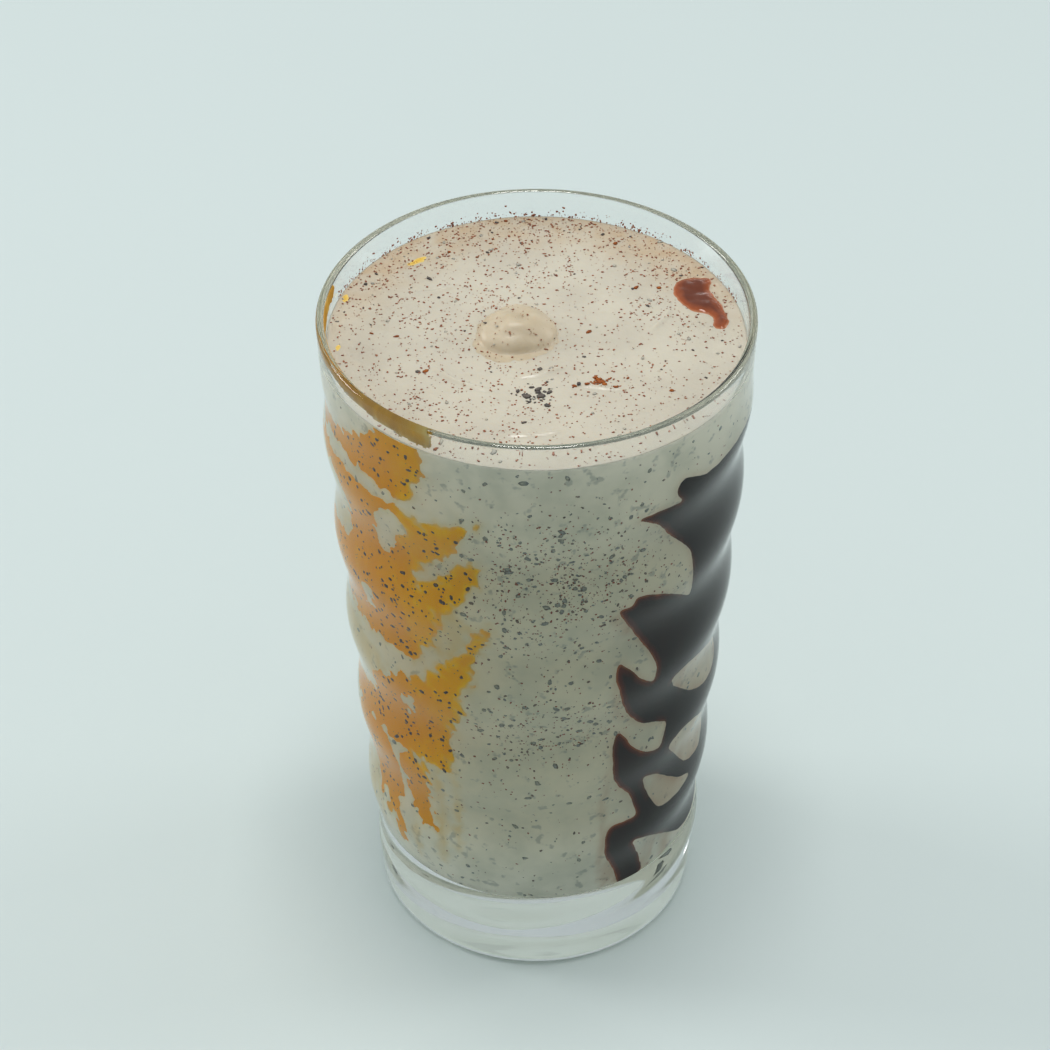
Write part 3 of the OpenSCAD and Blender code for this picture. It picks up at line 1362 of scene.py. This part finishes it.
@dataclass
class Specks:
    """Small flakes of one kind, half sunk in a face, joined as one piece.

    Sizes are the least and the greatest width in millimetres. Flatness is a flake's
    half thickness as a share of its radius.
    """

    name: str
    finish: Crumb
    sizes: tuple
    seed: int
    flatness: float = 0.45
    sides: int = 6

    def build(self, centre: Array, out: Array) -> bpy.types.Object:
        """Each flake is an uneven six-sided lens: a ring of six points and two poles.

        Args:
            centre: the flakes' middles in the shape (flakes, 3), in metres.
            out: the direction that each lies across, in the same shape.

        Returns:
            the joined piece.
        """
        rng = np.random.default_rng(self.seed)
        count = len(centre)
        low, high = self.sizes
        radius = 0.5 * MM * (low + (high - low) * rng.random(count) ** 2.2)
        other = np.cross(out, rng.normal(size=(count, 3)))
        other /= np.linalg.norm(other, axis=1, keepdims=True)
        third = np.cross(out, other)
        long = rng.uniform(1.0, 1.7, count)
        i = np.arange(self.sides)
        turn = i * TURN / self.sides
        reach = radius[:, None] * rng.uniform(0.65, 1.2, (count, self.sides))
        along = (reach * np.cos(turn) * long[:, None])[..., None] * other[:, None]
        ring = centre[:, None] + along + (reach * np.sin(turn))[..., None] * third[:, None]
        rise = (radius * self.flatness)[:, None] * out
        points = np.concatenate([ring, (centre + rise)[:, None], (centre - rise)[:, None]], 1)
        j = (i + 1) % self.sides
        up = np.stack([i, j, np.full_like(i, self.sides)], -1)
        down = np.stack([j, i, np.full_like(i, self.sides + 1)], -1)
        shift = (self.sides + 2) * np.arange(count)[:, None, None]
        faces = (np.vstack([up, down])[None] + shift).reshape(-1, 3)
        piece = new_object(self.name, points.reshape(-1, 3), faces.tolist())
        dress(piece, self.finish.material(), Slot.SPECKS)
        return piece


@dataclass
class Garnish:
    """Places the specks: over the surface, in the clump, and down inside the wall."""

    form: WaveWall
    surface: Surface
    lift: float = 0.04 * MM
    clumped: int = 26
    on_rim: int = 420
    in_mango: int = 1500
    # The wall's bearings in degrees and heights in mm that specks are drawn over.
    wall_span: tuple = ((-200, 160), (19, 134))
    mango_span: tuple = ((-165, -103), (22, 134))
    back_span: tuple = (15, 165)
    # Where they gather on the wall: bearing and width of the front, then each band's
    # height, width and share.
    front: tuple = (-84, 26)
    bands: tuple = ((107, 13, 0.95), (68, 9, 0.55))

    def on_top(self, x: Array, y: Array) -> tuple[Array, Array]:
        """Middles and directions of flakes on the surface or on the lump.

        Args:
            x: distances to the right of the middle.
            y: distances behind the middle.

        Returns:
            the flakes' middles, and straight up for each.
        """
        lump = Lump(self.form)
        a = np.arctan2(y - lump.y, x - lump.x)
        share = np.hypot(x - lump.x, y - lump.y) / lump.skirt_radius(a)
        over = np.where(share < 1, self.form.fill_h + lump.profile(np.minimum(share, 1), a), 0)
        h = np.maximum(self.surface.height(x, y), over) + self.lift
        return np.stack([x, y, h], -1), np.tile([0.0, 0.0, 1.0], (len(x), 1))

    def scattered(self, rng: np.random.Generator, count: int) -> tuple[Array, Array]:
        """Places all over the surface, thicker towards the back and the left edge.

        Args:
            rng: the random draws.
            count: the most places.

        Returns:
            distances to the right and behind the middle, in metres.
        """
        reach = float(self.form.inner(self.form.fill_h, 0)) - 0.4 * MM
        r = reach * np.sqrt(rng.random(count * 3))
        a = rng.uniform(0, TURN, count * 3)
        x, y = r * np.cos(a), r * np.sin(a)
        patchy = 0.5 + 0.5 * smooth_noise(x / (7 * MM) + 20, y / (5 * MM) + 20, 61)
        rimward = ease((r / reach - 0.55) / 0.45)
        behind = ease((y / reach + 0.2) / 1.2)
        wanted = 0.18 + 0.35 * patchy**1.5 + 0.6 * rimward * behind + 0.12 * (x < 0)
        kept = rng.random(count * 3) < wanted
        return x[kept][:count], y[kept][:count]

    def clump(
        self, rng: np.random.Generator, x: float, y: float, wide: float, deep: float
    ) -> tuple[Array, Array]:
        """A few places gathered about one spot, by normal draws.

        Args:
            rng: the random draws.
            x: the spot's distance to the right of the middle, in millimetres.
            y: its distance behind the middle.
            wide: how far the places spread sideways.
            deep: how far they spread back and forth.

        Returns:
            distances to the right and behind the middle, in metres.
        """
        count = self.clumped
        across = (x + wide * rng.normal(size=count)) * MM
        return across, (y + deep * rng.normal(size=count)) * MM

    def on_wall(self, u: Array, v: Array, out: float) -> tuple[Array, Array]:
        """Middles and directions of flakes on the wall's inside.

        Args:
            u: bearings in degrees.
            v: heights in millimetres.
            out: how far into the wall they sit, in millimetres.

        Returns:
            the flakes' middles, and the wall's own outward direction for each.
        """
        a, h = np.radians(u), v * MM
        step = 0.3 * MM
        slope = (self.form.inner(h + step, a) - self.form.inner(h - step, a)) / (2 * step)
        across = around_axis(np.ones_like(a), a, -slope)
        across /= np.linalg.norm(across, axis=1, keepdims=True)
        return around_axis(self.form.inner(h, a) + out * MM, a, h), across

    def down_wall(
        self, rng: np.random.Generator, count: int, sparse: float
    ) -> tuple[Array, Array]:
        """Bearings and heights on the wall, thickest in bands at the front.

        The chance of each is a bell round the front times a bell round each band.

        Args:
            rng: the random draws.
            count: the most flakes.
            sparse: the share kept outside the bands.

        Returns:
            bearings in degrees and heights in millimetres, clear of both sauces.
        """
        draws = count * 14
        u = rng.uniform(*self.wall_span[0], draws)
        v = rng.uniform(*self.wall_span[1], draws)
        front = np.exp(-(((u - self.front[0]) / self.front[1]) ** 2))
        banded = sum(
            share * np.exp(-(((v - middle) / width) ** 2)) for middle, width, share in self.bands
        )
        patchy = 0.5 + 0.5 * smooth_noise(u * ARC / 5 + 80, v / 5 + 80, 62)
        wanted = sparse + front * banded * (0.35 + 0.65 * patchy)
        kept = rng.random(draws) < wanted
        u, v = u[kept][:count], v[kept][:count]
        clear = (CHOCOLATE.depth(u, v) < -0.35) & (MANGO.depth(u, v) < -0.2)
        return u[clear], v[clear]

    def build(self) -> None:
        """Make each kind of speck in turn, from one line of random draws."""
        rng = np.random.default_rng(5)
        for name, finish, sizes, seed, flatness, places in (
            ("cocoa_specks_top", COCOA_CRUMB, (0.14, 0.5), 71, 0.45, 3400),
            ("dark_specks_top", DARK_CRUMB, (0.2, 0.9), 72, 0.45, 110),
            ("dark_clump", DARK_CRUMB, (0.4, 1.5), 73, 0.45, (-0.9, -17.5, 1.9, 1.6)),
            ("orange_crumbs", AMBER_CRUMB, (0.4, 1.1), 74, 0.45, (10.7, -13.7, 1.7, 0.7)),
            ("orange_flecks_top", AMBER_CRUMB, (0.3, 1.0), 79, 0.45, 40),
            ("sunken_specks_top", PALE_CRUMB, (0.3, 1.0), 80, 0.3, 90),
        ):
            gathered = isinstance(places, tuple)
            x, y = self.clump(rng, *places) if gathered else self.scattered(rng, places)
            Specks(name, finish, sizes, seed, flatness).build(*self.on_top(x, y))
        high = self.form.fill_h / MM + 0.7 * np.abs(rng.normal(size=self.on_rim))
        u = rng.uniform(*self.back_span, self.on_rim)
        Specks("cocoa_specks_rim", COCOA_CRUMB, (0.14, 0.5), 81, 0.3).build(
            *self.on_wall(u, high, -0.04))
        for name, finish, sizes, seed, flatness, count, sparse, out in (
            ("cocoa_specks_wall", COCOA_CRUMB, (0.14, 0.45), 75, 0.3, 3400, 0.02, 0.09),
            ("dark_specks_wall", VEILED_CRUMB, (0.15, 0.62), 76, 0.3, 1500, 0.03, 0.09),
            ("sunken_specks_wall", SUNKEN_CRUMB, (0.3, 1.15), 77, 0.16, 1150, 0.1, 0.06),
        ):
            u, v = self.down_wall(rng, count, sparse)
            Specks(name, finish, sizes, seed, flatness).build(*self.on_wall(u, v, out))
        u = rng.uniform(*self.mango_span[0], self.in_mango)
        v = rng.uniform(*self.mango_span[1], self.in_mango)
        held = MANGO.depth(u, v) > 0.5
        Specks("dark_specks_in_mango", DARK_CRUMB, (0.14, 0.95), 78, 0.3).build(
            *self.on_wall(u[held], v[held], 0.19))


# --------------------------------------------------------------------- the studio


@dataclass(frozen=True)
class Lamp:
    """A square area light that faces an aim point. Its power is in watts."""

    name: str
    place: tuple
    aim: tuple
    size: float
    power: float
    colour: tuple = (1, 1, 1)

    def build(self) -> None:
        """Set the light at its place, tilted and turned to face its aim."""
        lamp = bpy.data.lights.new(self.name, "AREA")
        lamp.shape = "SQUARE"
        lamp.size = self.size
        lamp.energy = self.power
        lamp.color = self.colour
        rig = bpy.data.objects.new(self.name, lamp)
        rig.location = self.place
        away = np.array(self.place) - np.array(self.aim)
        level = math.hypot(away[0], away[1])
        rig.rotation_euler = (math.atan2(level, away[2]), 0, math.atan2(away[0], -away[1]))
        bpy.context.scene.collection.objects.link(rig)


@dataclass
class Studio:
    """The plain pale floor, the soft lights and the camera."""

    floor_colour: tuple = (0.63, 0.68, 0.67)
    floor_size: float = 3.0
    floor_low: float = 0.1 * MM
    air_colour: tuple = (0.86, 0.95, 0.97, 1)
    air_strength: float = 0.58
    camera_place: tuple = (-0.002124, -0.42392, 0.448968)
    camera_tilt: float = math.radians(49.7577)
    lens: float = 99.09
    contrast: float = 0.86
    exposure: float = 0.04
    lamps: tuple = (
        Lamp("overhead", (0.0, -0.02, 2.0), (0, 0, 0.05), 0.6, 16.5, (1, 0.995, 0.98)),
        Lamp("left_box", (-1.3, 0.35, 0.6), (0, 0, 0.08), 0.5, 6.0),
        Lamp("right_box", (1.3, 0.35, 0.6), (0, 0, 0.08), 0.5, 3.6),
    )

    def floor(self) -> None:
        """A wide pale floor just under the foot, which lets light into the glass base."""
        tree = ShaderTree("pale_floor")
        cloud = tree.effect(mottle(), Scale=3, Low=0.2, High=0.8)
        colour = tree.mix(cloud, self.floor_colour, tuple(0.985 * c for c in self.floor_colour))
        material = tree.principled(Base_Color=colour, Roughness=0.6, Specular_IOR_Level=0.2)
        square = np.array([[-1, -1, 0], [1, -1, 0], [1, 1, 0], [-1, 1, 0]])
        corners = self.floor_size * square - [0, 0, self.floor_low]
        piece = new_object("floor", corners, [[0, 1, 2, 3]])
        piece.data.materials.append(material)

    def build(self) -> None:
        """Floor, sky light, lamps and camera."""
        self.floor()
        scene = bpy.context.scene
        scene.view_settings.view_transform = "Standard"
        scene.view_settings.gamma = self.contrast
        scene.view_settings.exposure = self.exposure
        world = scene.world or bpy.data.worlds.new("studio_air")
        scene.world = world
        world.use_nodes = True
        air = world.node_tree.nodes["Background"]
        air.inputs["Color"].default_value = self.air_colour
        air.inputs["Strength"].default_value = self.air_strength
        for lamp in self.lamps:
            lamp.build()
        lens = bpy.data.cameras.new("camera")
        lens.lens = self.lens
        lens.sensor_width = 36
        camera = bpy.data.objects.new("camera", lens)
        camera.location = self.camera_place
        camera.rotation_euler = (self.camera_tilt, 0, 0)
        scene.collection.objects.link(camera)
        scene.camera = camera


def main() -> None:
    """Build the studio, the tumbler, the drink and everything on it, in order."""
    logging.basicConfig(level=logging.INFO, format="%(name)s %(message)s")
    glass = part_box("glass")
    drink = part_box("milkshake")
    form = WaveWall(
        height=glass[1][2], rim_d=glass[1][0] - glass[0][0],
        base_t=drink[0][2], fill_h=drink[1][2],
    )
    Studio().build()
    Tumbler(form).build()
    surface = Surface(form)
    Shake(form, surface).build()
    Lump(form).build()
    WallSauce(form, "chocolate_sauce", CHOCOLATE, DARK_SAUCE, Slot.CHOCOLATE, (-72, 18)).build()
    WallSauce(form, "mango_sauce", MANGO, FRUIT_SAUCE, Slot.MANGO, (-194, -97)).build()
    WallSauce(
        form, "mango_rim_film", RIM_FILM, FILM_SAUCE, Slot.MANGO, (-196, -118),
        low=134.0, high=140.25, step=0.3, behind=0.14 * MM,
    ).build()
    SurfaceDrop(surface, TOP_DROP, DROP_SAUCE).build()
    SurfaceDrop(
        surface, TOP_BITS, FILM_SAUCE, "mango_bits_top", Slot.MANGO,
        ((-37.3, -19.8), (-6, 26)), dome=0.18 * MM,
    ).build()
    Garnish(form, surface).build()


if __name__ == "__main__":
    main()
